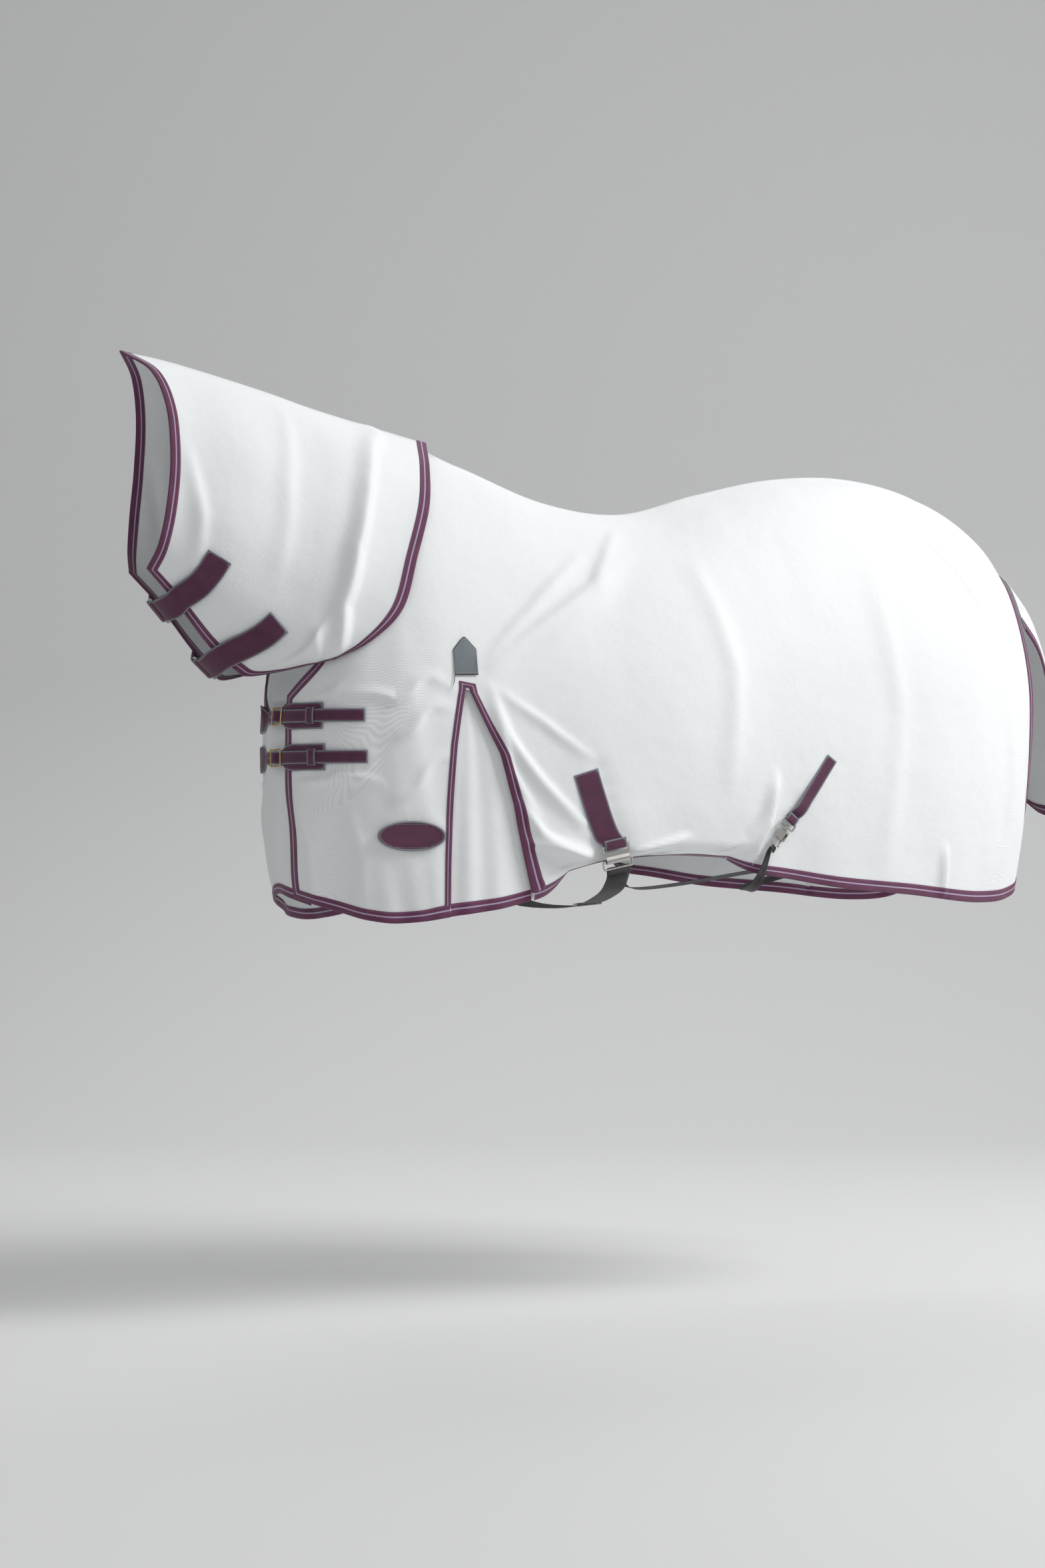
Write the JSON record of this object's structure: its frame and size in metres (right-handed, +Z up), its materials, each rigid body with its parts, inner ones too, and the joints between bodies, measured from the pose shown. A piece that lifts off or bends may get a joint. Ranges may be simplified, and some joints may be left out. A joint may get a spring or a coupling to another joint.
{
  "type": "horse fly sheet with neck cover",
  "caption": "Mesh fly sheet for a horse: body with shoulder gussets, chest straps and buckles, belly and leg straps, tail flap and a detachable neck cover.",
  "frame": {"origin": "on the top line of the sheet, at the lowest point of the horse's back", "axes": "-X towards the horse's head, -Y towards the horse's left side, +Z up"},
  "size_m": [2.0539, 0.6336, 1.0642],
  "materials": {
    "brass": "satin, worn",
    "cloth": "open mesh weave, semi-matt",
    "dark_webbing": "woven webbing, matt",
    "patch": "coated cloth, semi-matt",
    "steel": "satin",
    "tape": "woven binding tape, matt",
    "webbing": "woven webbing, matt"
  },
  "bodies": {
    "sheet": {"badge": "webbing", "body_left": "cloth", "body_right": "cloth", "chest_lower_base": "webbing", "chest_lower_buckle": "brass", "chest_lower_keeper": "webbing", "chest_lower_strap": "webbing", "chest_upper_base": "webbing", "chest_upper_buckle": "brass", "chest_upper_keeper": "webbing", "chest_upper_strap": "webbing", "front_binding_left": "tape", "front_binding_right": "tape", "gusset_binding_left": "tape", "gusset_binding_right": "tape", "gusset_left": "cloth", "gusset_patch_left": "patch", "gusset_patch_right": "patch", "gusset_right": "cloth", "hem_binding_left": "tape", "hem_binding_right": "tape", "leg_strap_lower_left": "webbing", "leg_strap_lower_right": "webbing", "leg_strap_upper_left": "webbing", "leg_strap_upper_right": "webbing", "leg_swivel_left": "steel", "leg_swivel_right": "steel", "rear_binding_left": "tape", "rear_binding_right": "tape", "surcingle_belly_strap": "dark_webbing", "surcingle_eye": "steel", "surcingle_upper_strap": "webbing", "withers_pad_body": "webbing"},
    "neck_cover": {"neck_front_binding_left": "tape", "neck_front_binding_right": "tape", "neck_hem_binding_left": "tape", "neck_hem_binding_right": "tape", "neck_left": "cloth", "neck_right": "cloth", "throat_lower_loop": "steel", "throat_lower_strap": "webbing", "throat_lower_tab": "webbing", "throat_upper_loop": "steel", "throat_upper_strap": "webbing", "throat_upper_tab": "webbing", "withers_pad_neck": "webbing"},
    "throat_upper_flap": {"throat_upper_flap": "webbing"},
    "chest_upper_tongue": {"chest_upper_tongue": "brass"},
    "throat_lower_flap": {"throat_lower_flap": "webbing"},
    "chest_lower_tongue": {"chest_lower_tongue": "brass"},
    "tail_flap": {"tail_flap": "cloth", "tail_flap_binding": "tape"},
    "surcingle_hook": {"surcingle_hook": "steel"},
    "surcingle_slider": {"surcingle_slider": "steel"},
    "leg_snap_left": {"leg_snap_left": "steel"},
    "leg_snap_bolt_left": {"leg_snap_bolt_left": "steel"},
    "leg_snap_right": {"leg_snap_right": "steel"},
    "leg_snap_bolt_right": {"leg_snap_bolt_right": "steel"}
  },
  "joints": [
    {"name": "neck_lift", "type": "hinge", "parent": "sheet", "child": "neck_cover", "pos_m": [-0.36987, 0, 0.11259], "axis": [0, 1, 0], "range_deg": [0, 35]},
    {"name": "tail_flap_lift", "type": "hinge", "parent": "sheet", "child": "tail_flap", "pos_m": [0.922, 0, -0.07], "axis": [0, -1, 0], "range_deg": [0, 75]},
    {"name": "throat_upper_peel", "type": "hinge", "parent": "neck_cover", "child": "throat_upper_flap", "pos_m": [-0.90878, -0.006, -0.21847], "axis": [0.6625, 0, -0.7491], "range_deg": [0, 100]},
    {"name": "throat_lower_peel", "type": "hinge", "parent": "neck_cover", "child": "throat_lower_flap", "pos_m": [-0.81887, -0.006, -0.32313], "axis": [0.7317, 0, -0.6816], "range_deg": [0, 100]},
    {"name": "chest_upper_tongue_lift", "type": "hinge", "parent": "sheet", "child": "chest_upper_tongue", "pos_m": [-0.69587, -0.05494, -0.41413], "axis": [0.095, 0.0177, 0.9953], "range_deg": [0, 40]},
    {"name": "chest_lower_tongue_lift", "type": "hinge", "parent": "sheet", "child": "chest_lower_tongue", "pos_m": [-0.69876, -0.05666, -0.4921], "axis": [-0.0113, -0.0028, 0.9999], "range_deg": [0, 40]},
    {"name": "surcingle_hook_tilt", "type": "hinge", "parent": "sheet", "child": "surcingle_hook", "pos_m": [-0.10906, -0.30747, -0.66031], "axis": [-0.9768, 0.0522, -0.2078], "range_deg": [0, 4]},
    {"name": "surcingle_slider_slide", "type": "slide", "parent": "sheet", "child": "surcingle_slider", "axis": [0.0166, 0.9937, -0.1104], "range_m": [-0.012, 0.012]},
    {"name": "leg_snap_left_swivel", "type": "hinge", "parent": "sheet", "child": "leg_snap_left", "pos_m": [0.24693, -0.30758, -0.63741], "axis": [-0.6122, -0.0337, -0.79], "range_deg": [-12, 12]},
    {"name": "leg_snap_left_bolt_pull", "type": "slide", "parent": "leg_snap_left", "child": "leg_snap_bolt_left", "axis": [0.6122, 0.0337, 0.79], "range_m": [0, 0.006], "stiffness_N_per_m": 300},
    {"name": "leg_snap_right_swivel", "type": "hinge", "parent": "sheet", "child": "leg_snap_right", "pos_m": [0.24693, 0.30758, -0.63741], "axis": [-0.6122, 0.0337, -0.79], "range_deg": [-12, 12]},
    {"name": "leg_snap_right_bolt_pull", "type": "slide", "parent": "leg_snap_right", "child": "leg_snap_bolt_right", "axis": [0.6122, -0.0337, 0.79], "range_m": [0, 0.006], "stiffness_N_per_m": 300}
  ]
}
